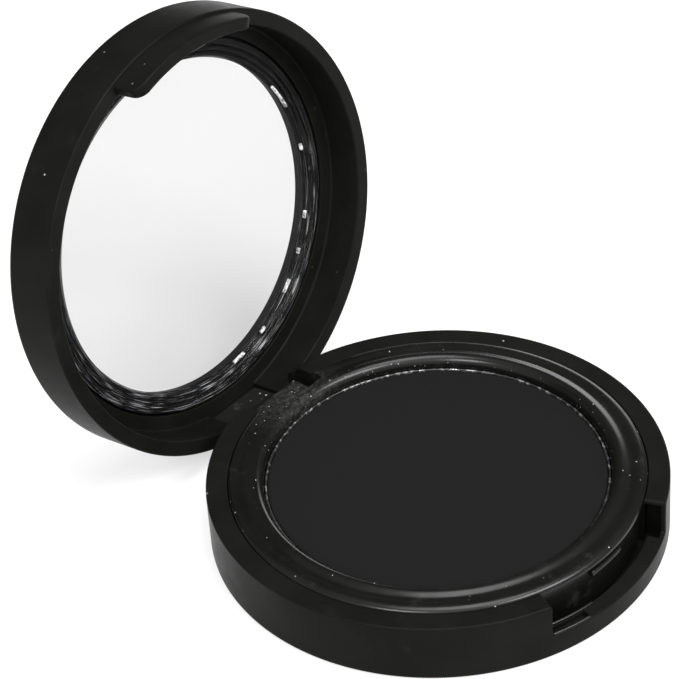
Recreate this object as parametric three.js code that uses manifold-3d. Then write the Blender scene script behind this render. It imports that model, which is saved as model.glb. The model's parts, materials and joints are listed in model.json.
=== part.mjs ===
// Round palette compact: a two-shell case with a hinged window lid, a glossy tray and one pressed colour cake.
// Millimetres, +Z up, origin at the centre of the case's underside, thumb notch towards -Y, hinge along X at +Y.
// The lid is drawn in its closed place and then swung open about the hinge axis.
import * as THREE from "three";
import { mergeVertices } from "three/addons/utils/BufferGeometryUtils.js";
import Module from "manifold-3d";

const wasm = await Module();
wasm.setup();

// ---------------------------------------------------------------- driving dimensions

const RING_SIDES = 60;
const ROD_SIDES = 24;

const CASE_RADIUS = 30;
const CASE_HEIGHT = 16;
const BASE_HEIGHT = 8.35;
const PARTING_GAP = 0.2;
const PIECE_GAP = 0.3;

const BASE_BORE = 27.2;
const BASE_FLOOR = 1.2;
const BASE_FILLET = 0.5;

const NOTCH_HALF_WIDTH = 11.9;
const NOTCH_CORNER = 1.2;
const NOTCH_LEDGE = 3.4;
const NOTCH_LIP_RADIUS = 27.7;
const NOTCH_GROOVE_FLOOR = 2.4;

const TRAY_RADIUS = 27;
const TRAY_FOOT = 1.5;
const TRAY_FLOOR = [2.2, 3.2];
const TRAY_WELL = 22.6;
const TRAY_HOLLOW = [24.1, 25.7];
const TRAY_HOLLOW_TOP = 7.6;
const TRAY_NOTCH_WALL = 26.5;
const BEAD = { radius: 26.1, width: 0.85, top: 8.9, shoulder: 8.2 };
const CROWN = { inner: 22.6, outer: 25.1, top: 9.1, innerFoot: 7.6, outerFoot: 8.35 };

const PLATFORM = { halfWidth: 4.4, front: 24, back: 27.1, top: 8.65 };
const PLATFORM_PIT = { left: 3, right: 5.7, front: 24.5 };
const CATCH = { halfWidth: 2.9, radius: 27.2, bottom: 6.2, top: 7.2 };

const PAN_RADIUS = 22.4;
const PAN_WALL = 0.35;
const PAN_HEIGHT = 4;
const PAN_FOOT = 3.5;
const CAKE_TOP = 7.4;
const CAKE_PLAY = 0.08;
const ADHESIVE_RADIUS = 15;

const HINGE_Y = 27.38;
const HINGE_Z = 4.4;
const OPEN_ANGLE = 99;
const SLOT_HALF_WIDTH = 4.6;
const SLOT_FLOOR = 0.7;
const EAR = { outer: 7.6, front: 25, top: 6.9 };
const PIN_RADIUS = 0.75;
const PIN_HALF_LENGTH = 7.2;
const PIN_BORE = 0.8;
const RIM_RELIEF_HALF_WIDTH = 12.6;

const LID_BORE = 27.9;
const LID_CEILING = 13.6;
const LID_FILLET = 0.8;
const WINDOW_SEAT_RADIUS = 25.8;
const WINDOW_SEAT_TOP = 14.7;
const WINDOW_HOLE = 22.9;
const WINDOW_FLANGE = [13.65, 14.4];
const WINDOW_TOP = 15.8;

const TAB = { halfWidth: 11.4, tip: 4.3, corner: 1.8, inner: 28, outer: 29.65, root: 1 };
const HOOK = { halfWidth: 2.9, radius: 27.45, bottom: 5, top: 5.8 };

const BLOCK = { halfWidth: 4.25, front: 27.4, back: 28.85, top: 13.35, barrel: 2.3 };
const LEAF_POCKET = { halfWidth: 4.55, back: 29.1 };

// Worked-out levels.
const LID_MOUTH = BASE_HEIGHT + PARTING_GAP;
const LID_SWING_RADIUS = LID_MOUTH - HINGE_Z - 0.15;
const BEYOND = CASE_RADIUS + 2;
const OVER = CASE_HEIGHT + 2;

// ---------------------------------------------------------------- making and cutting solids

// A closed three.js geometry as a solid: shared corners are merged and the flat triangles at a pole dropped.
function solid(geometry) {
  geometry.deleteAttribute("normal");
  geometry.deleteAttribute("uv");
  const merged = mergeVertices(geometry, 1e-5);
  const index = merged.getIndex().array;
  const triangles = [];
  for (let i = 0; i < index.length; i += 3) {
    const [a, b, c] = [index[i], index[i + 1], index[i + 2]];
    if (a !== b && b !== c && c !== a) {
      triangles.push(a, b, c);
    }
  }
  return new wasm.Manifold(new wasm.Mesh({
    numProp: 3,
    vertProperties: new Float32Array(merged.getAttribute("position").array),
    triVerts: new Uint32Array(triangles),
  }));
}

// A profile of [radius, height] points turned once around the Z axis.
function turned(profile) {
  const points = profile.map(([radius, height]) => new THREE.Vector2(radius, height));
  const geometry = new THREE.LatheGeometry(points, RING_SIDES);
  geometry.rotateX(Math.PI / 2);
  return solid(geometry);
}

function ring(inner, outer, low, high) {
  return turned([[inner, low], [outer, low], [outer, high], [inner, high], [inner, low]]);
}

function disc(radius, low, high) {
  return turned([[0, low], [radius, low], [radius, high], [0, high]]);
}

function block(x, y, z) {
  const geometry = new THREE.BoxGeometry(x[1] - x[0], y[1] - y[0], z[1] - z[0]);
  geometry.translate((x[0] + x[1]) / 2, (y[0] + y[1]) / 2, (z[0] + z[1]) / 2);
  return solid(geometry);
}

// A rod along X through the hinge axis.
function hingeRod(radius, halfLength) {
  const geometry = new THREE.CylinderGeometry(radius, radius, 2 * halfLength, ROD_SIDES);
  geometry.rotateZ(Math.PI / 2);
  geometry.translate(0, HINGE_Y, HINGE_Z);
  return solid(geometry);
}

// An outline in X and Z pushed through the front wall of the case.
function throughFront(shape) {
  const geometry = new THREE.ExtrudeGeometry(shape, { depth: BEYOND, bevelEnabled: false, curveSegments: 5 });
  geometry.rotateX(Math.PI / 2);
  return solid(geometry);
}

// Points of a quarter round from one angle to another, in degrees, about a centre in [radius, height].
function arc(centre, radii, from, to, steps) {
  const points = [];
  for (let i = 0; i <= steps; i += 1) {
    const angle = THREE.MathUtils.degToRad(from + ((to - from) * i) / steps);
    points.push([centre[0] + radii[0] * Math.cos(angle), centre[1] + radii[1] * Math.sin(angle)]);
  }
  return points;
}

function piece(name, body, color, roughness, metalness = 0, opacity = 1) {
  const { vertProperties, triVerts } = body.getMesh();
  const geometry = new THREE.BufferGeometry();
  geometry.setAttribute("position", new THREE.BufferAttribute(new Float32Array(vertProperties), 3));
  geometry.setIndex(Array.from(triVerts));
  geometry.computeVertexNormals();
  const material = new THREE.MeshStandardMaterial({
    color,
    roughness,
    metalness,
    opacity,
    transparent: opacity < 1,
  });
  const mesh = new THREE.Mesh(geometry, material);
  mesh.name = name;
  return mesh;
}

// ---------------------------------------------------------------- case base

// The thumb notch's opening, with its two top corners rounded into the rim.
function notchOutline(floor) {
  const shape = new THREE.Shape();
  const shoulder = BASE_HEIGHT - NOTCH_CORNER;
  const mouth = NOTCH_HALF_WIDTH + NOTCH_CORNER;
  shape.moveTo(-NOTCH_HALF_WIDTH, floor);
  shape.lineTo(NOTCH_HALF_WIDTH, floor);
  shape.lineTo(NOTCH_HALF_WIDTH, shoulder);
  shape.absarc(mouth, shoulder, NOTCH_CORNER, Math.PI, Math.PI / 2, true);
  shape.lineTo(mouth, OVER);
  shape.lineTo(-mouth, OVER);
  shape.lineTo(-mouth, BASE_HEIGHT);
  shape.absarc(-mouth, shoulder, NOTCH_CORNER, Math.PI / 2, 0, true);
  return shape;
}

function baseShell() {
  let body = turned([
    [0, 0],
    ...arc([CASE_RADIUS - BASE_FILLET, BASE_FILLET], [BASE_FILLET, BASE_FILLET], -90, 0, 3),
    [CASE_RADIUS, BASE_HEIGHT],
    [BASE_BORE, BASE_HEIGHT],
    [BASE_BORE, BASE_FLOOR],
    [0, BASE_FLOOR],
  ]);
  const earBlock = block([-EAR.outer, EAR.outer], [EAR.front, HINGE_Y + 1], [BASE_FLOOR / 2, EAR.top]);
  body = body.add(earBlock.intersect(disc(CASE_RADIUS, 0, BASE_HEIGHT)));
  const slot = block([-SLOT_HALF_WIDTH, SLOT_HALF_WIDTH], [EAR.front - 1, BEYOND], [SLOT_FLOOR, OVER]);
  const relief = block([-RIM_RELIEF_HALF_WIDTH, RIM_RELIEF_HALF_WIDTH], [HINGE_Y, BEYOND], [HINGE_Z, OVER])
    .subtract(hingeRod(LID_SWING_RADIUS, BEYOND));
  const ledgeCut = throughFront(notchOutline(NOTCH_LEDGE));
  const grooveCut = throughFront(notchOutline(NOTCH_GROOVE_FLOOR))
    .intersect(disc(NOTCH_LIP_RADIUS, 0, BASE_HEIGHT - NOTCH_CORNER));
  return body
    .subtract(slot)
    .subtract(relief)
    .subtract(ledgeCut)
    .subtract(grooveCut)
    .subtract(hingeRod(PIN_BORE, PIN_HALF_LENGTH + PIECE_GAP));
}

function hingePin() {
  return hingeRod(PIN_RADIUS, PIN_HALF_LENGTH);
}

// ---------------------------------------------------------------- tray, pan and colour

function trayBody() {
  const crownMiddle = (CROWN.inner + CROWN.outer) / 2;
  const crownHalf = (CROWN.outer - CROWN.inner) / 2;
  return turned([
    [0, TRAY_FLOOR[0]],
    [TRAY_HOLLOW[0], TRAY_FLOOR[0]],
    [TRAY_HOLLOW[0], TRAY_HOLLOW_TOP],
    [TRAY_HOLLOW[1], TRAY_HOLLOW_TOP],
    [TRAY_HOLLOW[1], TRAY_FOOT],
    [TRAY_RADIUS, TRAY_FOOT],
    ...arc([BEAD.radius, BEAD.shoulder], [TRAY_RADIUS - BEAD.radius, BEAD.top - BEAD.shoulder], 0, 90, 4),
    [BEAD.radius - BEAD.width, CROWN.outerFoot + 0.15],
    ...arc([crownMiddle, CROWN.outerFoot], [crownHalf, CROWN.top - CROWN.outerFoot], 0, 150, 6),
    [CROWN.inner, CROWN.innerFoot],
    [TRAY_WELL, TRAY_FLOOR[1]],
    [0, TRAY_FLOOR[1]],
  ]);
}

function innerTray() {
  const platform = block(
    [-PLATFORM.halfWidth, PLATFORM.halfWidth],
    [PLATFORM.front, PLATFORM.back],
    [TRAY_HOLLOW_TOP, PLATFORM.top],
  );
  const hingeRoom = block(
    [-EAR.outer - PIECE_GAP, EAR.outer + PIECE_GAP],
    [EAR.front - PIECE_GAP, BEYOND],
    [0, EAR.top + PIECE_GAP],
  );
  const pit = block([PLATFORM_PIT.left, PLATFORM_PIT.right], [PLATFORM_PIT.front, BEYOND], [BASE_FLOOR, OVER]);
  const fingerRoom = throughFront(notchOutline(0))
    .subtract(disc(TRAY_NOTCH_WALL, 0, OVER))
    .intersect(disc(BEYOND, 0, BEAD.shoulder));
  const catchRib = ring(TRAY_NOTCH_WALL - PIECE_GAP, CATCH.radius, CATCH.bottom, CATCH.top)
    .intersect(block([-CATCH.halfWidth, CATCH.halfWidth], [-BEYOND, 0], [0, OVER]));
  return trayBody()
    .add(platform)
    .subtract(hingeRoom)
    .subtract(pit)
    .subtract(fingerRoom)
    .add(catchRib);
}

function colorPan() {
  const top = PAN_FOOT + PAN_HEIGHT;
  return turned([
    [0, PAN_FOOT],
    [PAN_RADIUS, PAN_FOOT],
    [PAN_RADIUS, top],
    [PAN_RADIUS - PAN_WALL, top],
    [PAN_RADIUS - PAN_WALL, PAN_FOOT + PAN_WALL],
    [0, PAN_FOOT + PAN_WALL],
  ]);
}

function colorCake() {
  return disc(PAN_RADIUS - PAN_WALL - CAKE_PLAY, PAN_FOOT + PAN_WALL + CAKE_PLAY, CAKE_TOP);
}

function panAdhesive() {
  return disc(ADHESIVE_RADIUS, TRAY_FLOOR[1] + CAKE_PLAY, PAN_FOOT - CAKE_PLAY);
}

// ---------------------------------------------------------------- lid, drawn closed

// The thumb tab's outline, with its two lower corners rounded.
function tabOutline() {
  const shape = new THREE.Shape();
  const side = TAB.halfWidth - TAB.corner;
  const knee = TAB.tip + TAB.corner;
  const root = LID_MOUTH + TAB.root;
  shape.moveTo(TAB.halfWidth, root);
  shape.lineTo(-TAB.halfWidth, root);
  shape.lineTo(-TAB.halfWidth, knee);
  shape.absarc(-side, knee, TAB.corner, Math.PI, 1.5 * Math.PI, false);
  shape.lineTo(side, TAB.tip);
  shape.absarc(side, knee, TAB.corner, 1.5 * Math.PI, 2 * Math.PI, false);
  return shape;
}

function lidShell() {
  const body = turned([
    [LID_BORE, LID_MOUTH],
    [CASE_RADIUS, LID_MOUTH],
    ...arc([CASE_RADIUS - LID_FILLET, CASE_HEIGHT - LID_FILLET], [LID_FILLET, LID_FILLET], 0, 90, 4),
    [WINDOW_HOLE, CASE_HEIGHT],
    [WINDOW_HOLE, WINDOW_SEAT_TOP],
    [WINDOW_SEAT_RADIUS, WINDOW_SEAT_TOP],
    [WINDOW_SEAT_RADIUS, LID_CEILING],
    [LID_BORE, LID_CEILING],
    [LID_BORE, LID_MOUTH],
  ]);
  const tab = throughFront(tabOutline()).intersect(ring(TAB.inner, TAB.outer, 0, OVER));
  const hook = ring(HOOK.radius, TAB.outer - PIECE_GAP, HOOK.bottom, HOOK.top)
    .intersect(block([-HOOK.halfWidth, HOOK.halfWidth], [-BEYOND, 0], [0, OVER]));
  const pocket = block(
    [-LEAF_POCKET.halfWidth, LEAF_POCKET.halfWidth],
    [HINGE_Y - 1, LEAF_POCKET.back],
    [0, LID_CEILING],
  );
  return body.add(tab).add(hook).subtract(pocket);
}

function lidWindow() {
  const [seat, shoulder] = WINDOW_FLANGE;
  return turned([
    [0, seat],
    [WINDOW_SEAT_RADIUS - PIECE_GAP, seat],
    [WINDOW_SEAT_RADIUS - PIECE_GAP, shoulder],
    [WINDOW_HOLE - PIECE_GAP, shoulder],
    [WINDOW_HOLE - PIECE_GAP, WINDOW_TOP],
    [0, WINDOW_TOP],
  ]);
}

function hingeBlock() {
  const width = [-BLOCK.halfWidth, BLOCK.halfWidth];
  const leaf = block(width, [BLOCK.front, BLOCK.back], [HINGE_Z, BLOCK.top]);
  const bore = disc(LID_BORE, LID_MOUTH + PIECE_GAP, OVER);
  return leaf
    .subtract(bore)
    .add(hingeRod(BLOCK.barrel, BLOCK.halfWidth))
    .subtract(hingeRod(PIN_BORE, BEYOND));
}

// ---------------------------------------------------------------- assembly

const SATIN_BLACK = 0x141413;
const GLOSS_BLACK = 0x0e0e0d;
const CAKE_BLACK = 0x272727;
const TIN = 0xb9babb;
const STEEL = 0xa9abad;
const CLEAR = 0xf2f4f4;
const ADHESIVE_GREY = 0xc9c6ba;

const base = new THREE.Group();
base.add(
  piece("base_shell", baseShell(), SATIN_BLACK, 0.42),
  piece("inner_tray", innerTray(), GLOSS_BLACK, 0.2),
  piece("color_pan", colorPan(), TIN, 0.35, 1),
  piece("color_cake", colorCake(), CAKE_BLACK, 0.95),
  piece("pan_adhesive", panAdhesive(), ADHESIVE_GREY, 0.8),
  piece("hinge_pin", hingePin(), STEEL, 0.3, 1),
);

const lidParts = new THREE.Group();
lidParts.position.set(0, -HINGE_Y, -HINGE_Z);
lidParts.add(
  piece("lid_shell", lidShell(), SATIN_BLACK, 0.42),
  piece("lid_window", lidWindow(), CLEAR, 0.05, 0, 0.25),
  piece("hinge_block", hingeBlock(), SATIN_BLACK, 0.42),
);

const lid = new THREE.Group();
lid.position.set(0, HINGE_Y, HINGE_Z);
lid.rotation.x = -THREE.MathUtils.degToRad(OPEN_ANGLE);
lid.add(lidParts);

const compact = new THREE.Group();
compact.add(base, lid);

export default compact;
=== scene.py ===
"""Round palette compact: fine moulded pieces, materials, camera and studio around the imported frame.

Lengths in this script are in millimetres until a mesh is made. Lid pieces are drawn closed and then
turned back about the hinge to the stored open place.
"""

import math
import random

import bmesh
import bpy
from mathutils import Matrix, Vector
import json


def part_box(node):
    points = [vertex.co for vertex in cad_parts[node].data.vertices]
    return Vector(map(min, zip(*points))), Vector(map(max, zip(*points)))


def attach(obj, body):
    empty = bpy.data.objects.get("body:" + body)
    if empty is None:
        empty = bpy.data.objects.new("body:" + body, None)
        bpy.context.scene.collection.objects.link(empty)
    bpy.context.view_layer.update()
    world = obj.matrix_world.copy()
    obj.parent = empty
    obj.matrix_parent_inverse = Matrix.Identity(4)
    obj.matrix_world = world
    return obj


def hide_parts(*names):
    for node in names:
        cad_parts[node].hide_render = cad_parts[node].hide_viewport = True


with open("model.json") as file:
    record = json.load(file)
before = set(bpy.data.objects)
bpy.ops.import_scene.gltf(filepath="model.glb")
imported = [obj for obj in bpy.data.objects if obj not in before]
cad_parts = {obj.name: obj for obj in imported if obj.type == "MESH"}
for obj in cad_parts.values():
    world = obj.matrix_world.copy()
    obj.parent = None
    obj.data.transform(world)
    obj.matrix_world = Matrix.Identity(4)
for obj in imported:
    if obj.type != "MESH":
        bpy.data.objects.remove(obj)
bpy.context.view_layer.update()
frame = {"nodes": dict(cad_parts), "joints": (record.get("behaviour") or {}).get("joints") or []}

MM = 0.001
RING_COLUMNS = 240
ARC_STEPS = 5
SHARP_ANGLE = math.radians(32)
# Where cutters end, well past the case.
OPEN_END = 40.0
OUTSIDE = 36.0

# ---------------------------------------------------------------- sizes: the frame's, then each piece's

_, base_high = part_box("base_shell")
lid_hinge = next(joint for joint in frame["joints"] if joint["name"] == "lid_hinge")

CASE_RADIUS = base_high.x / MM
BASE_HEIGHT = base_high.z / MM
HINGE = Vector(lid_hinge["pos_m"]) / MM
OPEN_ANGLE = math.radians(lid_hinge["range_deg"][1])

CASE_HEIGHT = 16.0
LID_MOUTH = BASE_HEIGHT + 0.2
GAP = 0.3

BASE_BORE = 27.2
BASE_FLOOR = 1.2
NOTCH_HALF_ANGLE = 23.4
NOTCH_INNER = 26.0
NOTCH_LEDGE = 3.4
NOTCH_LIP_RADIUS = 27.7
NOTCH_GROOVE_FLOOR = 2.4
NOTCH_CORNER, NOTCH_FOOT, NOTCH_FLARE = 0.4, 0.3, 0.2
CHANNEL_MIDDLE, CHANNEL_HALF_ANGLE, CHANNEL_DEPTH = -17.6, 5.6, 0.8
INNER_RAIL, OUTER_RAIL, RAIL_RADIUS = (-15.6, 7.3), (-17.6, 5.5), 0.24
END_POCKET, POCKET_SKIN = (24.3, 3.1), 0.6
EAR_OUTER, EAR_FRONT, EAR_TOP = 7.6, 25.0, 6.9
SLOT_HALF_WIDTH, SLOT_FLOOR, SLOT_CORNER, SLOT_FOOT = 4.6, 0.7, 0.25, 0.2
RELIEF_HALF_WIDTH = 12.6
SWING_RADIUS = LID_MOUTH - HINGE.z - 0.15

TRAY_RADIUS = 27.15
TRAY_NOTCH_WALL = 26.5
TRAY_FOOT, TRAY_UNDERSIDE, TRAY_FLOOR = 1.5, 2.2, 3.2
SKIRT_INNER, SKIRT_OUTER, TRAY_HOLLOW_TOP = 24.1, 25.7, 7.6
FINGER_ROOM_TOP = 8.0
CATCH_ROOT, CATCH_TIP, CATCH_LOW, CATCH_HIGH = 26.2, 27.2, 6.2, 7.2
BEAD_RADIUS, BEAD_FOOT, BEAD_TOP = 26.1, 8.05, 8.78
WELL_RADIUS = 22.5
CROWN_VALLEY, VALLEY_HEIGHT = 24.95, 8.67
CROWN_RIDGE, CROWN_SHOULDER, CROWN_TOP = 23.65, 7.6, 9.0
PLATFORM_HALF_WIDTH, PLATFORM_EDGE, PLATFORM_TOP = 4.7, 27.1, 8.65
PIT_LEFT, PIT_RIGHT, PIT_FRONT = 3.0, 5.7, 24.5

PAN_RADIUS, PAN_WALL, PAN_FOOT, PAN_TOP = 22.4, 0.3, 3.5, 7.5
CAKE_RADIUS, CAKE_FOOT, CAKE_TOP = 22.05, PAN_FOOT + PAN_WALL + 0.08, 7.4
CRUMBLE_WIDTH, CRUMBLE_LOSS = 0.4, 0.16

LID_BORE = 27.9
LID_CEILING = 13.6
SEAT_RADIUS, SEAT_TOP, WINDOW_HOLE = 25.8, 14.7, 22.9
PANE_INNER, PANE_EDGE, PANE_OUTER = 13.72, 22.35, 15.8
FLANGE_INNER, FLANGE_FACE, FLANGE_RIDGE, FLANGE_BACK = 22.75, 13.95, 13.66, 14.4
CLIP_INNER, CLIP_OUTER, CLIP_HEIGHT = 22.6, 22.95, 0.4
TAB_HALF_WIDTH, TAB_TIP, TAB_CORNER, TAB_INNER, TAB_OUTER = 11.4, 4.3, 1.8, 28.0, 29.65
TAB_ROOT, TAB_EDGE, TAB_LEAN, TAB_ROWS = LID_MOUTH + 0.9, 0.3, 0.12, 6
HOOK_TIP, HOOK_BEVEL, HOOK_ROOT, HOOK_LOW, HOOK_MIDDLE, HOOK_HIGH = 27.45, 27.8, 28.8, 4.95, 5.4, 5.85
LEAF_HALF_WIDTH, LEAF_FRONT, LEAF_BACK, LEAF_TOP, BARREL_RADIUS = 4.42, 27.4, 28.85, 13.35, 2.3
POCKET_HALF_WIDTH, POCKET_BACK = 4.55, 29.1
PIN_RADIUS, PIN_HALF_LENGTH, PIN_BORE = 0.75, 7.2, 0.8

# Ribs on the tray's notch wall: height, then middle and half angle in degrees.
NOTCH_RIBS = ((7.75, 11.5, 9.0), (7.2, 14.5, 6.5))
# Clip bars on the window's flange: middle and half angle in degrees.
CLIPS = ((66, 5.5), (89, 1.2), (114, 1.4), (127, 1.0), (140, 2.6), (158, 1.4), (172, 3.0))

# ---------------------------------------------------------------- mesh tools


def mesh_object(name, points, faces):
    """A mesh object from points in millimetres."""
    mesh = bpy.data.meshes.new(name)
    mesh.from_pydata([Vector(p) * MM for p in points], [], faces)
    obj = bpy.data.objects.new(name, mesh)
    bpy.context.scene.collection.objects.link(obj)
    clean(obj)
    return obj


def clean(obj):
    """Merges doubled points, drops empty faces and turns every face outward."""
    work = bmesh.new()
    work.from_mesh(obj.data)
    bmesh.ops.remove_doubles(work, verts=work.verts, dist=1e-7)
    bmesh.ops.dissolve_degenerate(work, edges=work.edges, dist=1e-8)
    bmesh.ops.recalc_face_normals(work, faces=work.faces)
    work.to_mesh(obj.data)
    work.free()


def smooth(obj):
    """Smooth shading with sharp edges kept where two faces meet at a clear angle."""
    for polygon in obj.data.polygons:
        polygon.use_smooth = True
    obj.data.set_sharp_from_angle(angle=SHARP_ANGLE)
    modifier = obj.modifiers.new("weighted", "WEIGHTED_NORMAL")
    modifier.keep_sharp = True
    modifier.weight = 80


def rounded(corners, steps=ARC_STEPS):
    """An outline from (u, v, radius) corners, with an arc at each corner that has a radius and turns."""
    outline = []
    count = len(corners)
    for i, (u, v, radius) in enumerate(corners):
        here = Vector((u, v))
        before = Vector(corners[i - 1][:2]) - here
        after = Vector(corners[(i + 1) % count][:2]) - here
        half = before.angle(after) / 2
        if radius <= 0 or half > math.radians(89):
            outline.append((u, v))
            continue
        before.normalize()
        after.normalize()
        reach = radius / math.tan(half)
        centre = here + (before + after).normalized() * (radius / math.sin(half))
        start = here + before * reach - centre
        end = here + after * reach - centre
        turn = start.angle_signed(end)
        for step in range(steps + 1):
            spoke = start.copy()
            spoke.rotate(Matrix.Rotation(-turn * step / steps, 2))
            outline.append(tuple(centre + spoke))
    return outline


def turned(name, outline, columns=RING_COLUMNS):
    """A closed outline of (radius, height) turned once around the Z axis."""
    points, faces = [], []
    count = len(outline)
    for column in range(columns):
        angle = 2 * math.pi * column / columns
        for radius, height in outline:
            points.append((radius * math.sin(angle), radius * math.cos(angle), height))
    for column in range(columns):
        a, b = column * count, (column + 1) % columns * count
        for i in range(count):
            j = (i + 1) % count
            if outline[i][0] > 0 or outline[j][0] > 0:
                faces.append((a + i, b + i, b + j, a + j))
    return mesh_object(name, points, faces)


def sector(name, outline, middle, half_angle, steps=48, round_end=0.0):
    """A closed outline of (radius, height) swept over an arc about the Z axis.

    Angles are in degrees from -Y towards +X. The two ends draw in over the length round_end.
    """
    points, faces = [], []
    count = len(outline)
    centre = sum((Vector(p) for p in outline), Vector((0, 0))) / count
    stations = [(-half_angle + 2 * half_angle * i / steps, 1.0) for i in range(steps + 1)]
    if round_end:
        cap = math.degrees(round_end / centre.x)
        ends = [(cap * (1 - math.cos(t)), math.sin(t)) for t in (0.5, 0.8, 1.1, 1.4)]
        stations = [(-half_angle + a, s) for a, s in ends] + stations[1:-1]
        stations += [(half_angle - a, s) for a, s in reversed(ends)]
    for degrees, scale in stations:
        angle = math.radians(middle + degrees)
        for p in outline:
            radius, height = centre + (Vector(p) - centre) * (0.5 + 0.5 * scale)
            points.append((radius * math.sin(angle), -radius * math.cos(angle), height))
    for station in range(len(stations) - 1):
        a, b = station * count, (station + 1) * count
        for i in range(count):
            j = (i + 1) % count
            faces.append((a + i, b + i, b + j, a + j))
    faces.append(tuple(range(count)))
    faces.append(tuple(range(len(points) - count, len(points))))
    return mesh_object(name, points, faces)


def offset(outline, distance):
    """A closed anticlockwise outline moved outward by a distance."""
    moved = []
    count = len(outline)
    for i, p in enumerate(outline):
        here = Vector(p)
        first = (here - Vector(outline[i - 1])).normalized()
        second = (Vector(outline[(i + 1) % count]) - here).normalized()
        n1 = Vector((first.y, -first.x))
        n2 = Vector((second.y, -second.x))
        miter = (n1 + n2) / max(0.3, 1 + n1.dot(n2))
        moved.append(tuple(here + miter * distance))
    return moved


def pushed(name, outline, layers, place):
    """An outline pushed through layers of (depth, offset) and put in space by place(u, v, depth)."""
    points, faces = [], []
    count = len(outline)
    for depth, grow in layers:
        points += [place(u, v, depth) for u, v in offset(outline, grow)]
    for layer in range(len(layers) - 1):
        a, b = layer * count, (layer + 1) * count
        for i in range(count):
            j = (i + 1) % count
            faces.append((a + i, a + j, b + j, b + i))
    faces.append(tuple(range(count)))
    faces.append(tuple(range(len(points) - count, len(points))))
    return mesh_object(name, points, faces)


def block(name, x, y, z):
    """A rectangular cutter."""
    corners = [(x[0], y[0]), (x[1], y[0]), (x[1], y[1]), (x[0], y[1])]
    return pushed(name, corners, [(z[0], 0), (z[1], 0)], lambda u, v, w: (u, v, w))


def around_front(u, v, depth):
    """Puts a length along the case's rim and a height on the front wall, at a radius."""
    angle = u / CASE_RADIUS
    return (depth * math.sin(angle), -depth * math.cos(angle), v)


def towards_back(u, v, depth):
    """Puts an outline in X and Z at a depth along Y."""
    return (u, depth, v)


def across(u, v, depth):
    """Puts an outline in Y and Z at a depth along X."""
    return (depth, u, v)


def quarter_turn(steps=ARC_STEPS):
    """Angles from nothing to a right angle, in equal steps."""
    return [math.pi / 2 * i / steps for i in range(steps + 1)]


def flare(surface, radius):
    """Layers that round a cutter's edge outward as it reaches a surface."""
    turns = quarter_turn()
    return [(surface - radius + radius * math.sin(t), radius - radius * math.cos(t)) for t in turns]


def combine(obj, other, operation):
    """Joins or cuts obj with other, which is used up."""
    modifier = obj.modifiers.new("combine", "BOOLEAN")
    modifier.operation = operation
    modifier.solver = "EXACT"
    modifier.object = other
    bpy.context.view_layer.update()
    evaluated = obj.evaluated_get(bpy.context.evaluated_depsgraph_get())
    mesh = bpy.data.meshes.new_from_object(evaluated)
    obj.modifiers.clear()
    obj.data = mesh
    bpy.data.objects.remove(other)


def cut(obj, other):
    """Takes other away from obj."""
    combine(obj, other, "DIFFERENCE")


def join(obj, other):
    """Adds other to obj."""
    combine(obj, other, "UNION")


def shift(obj, move):
    """Moves each point of a mesh by move(x, y, z), in millimetres."""
    for vertex in obj.data.vertices:
        vertex.co = Vector(move(*(vertex.co / MM))) * MM


def ease(value, start, end):
    """0 before start, 1 after end, and a smooth step between them."""
    t = min(1.0, max(0.0, (value - start) / (end - start)))
    return t * t * (3 - 2 * t)


def swing_open(obj):
    """Turns a lid piece from the closed place to the stored open place."""
    about = Vector(HINGE) * MM
    turn = Matrix.Translation(about) @ Matrix.Rotation(-OPEN_ANGLE, 4, "X") @ Matrix.Translation(-about)
    obj.data.transform(turn)


# ---------------------------------------------------------------- materials


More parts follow.
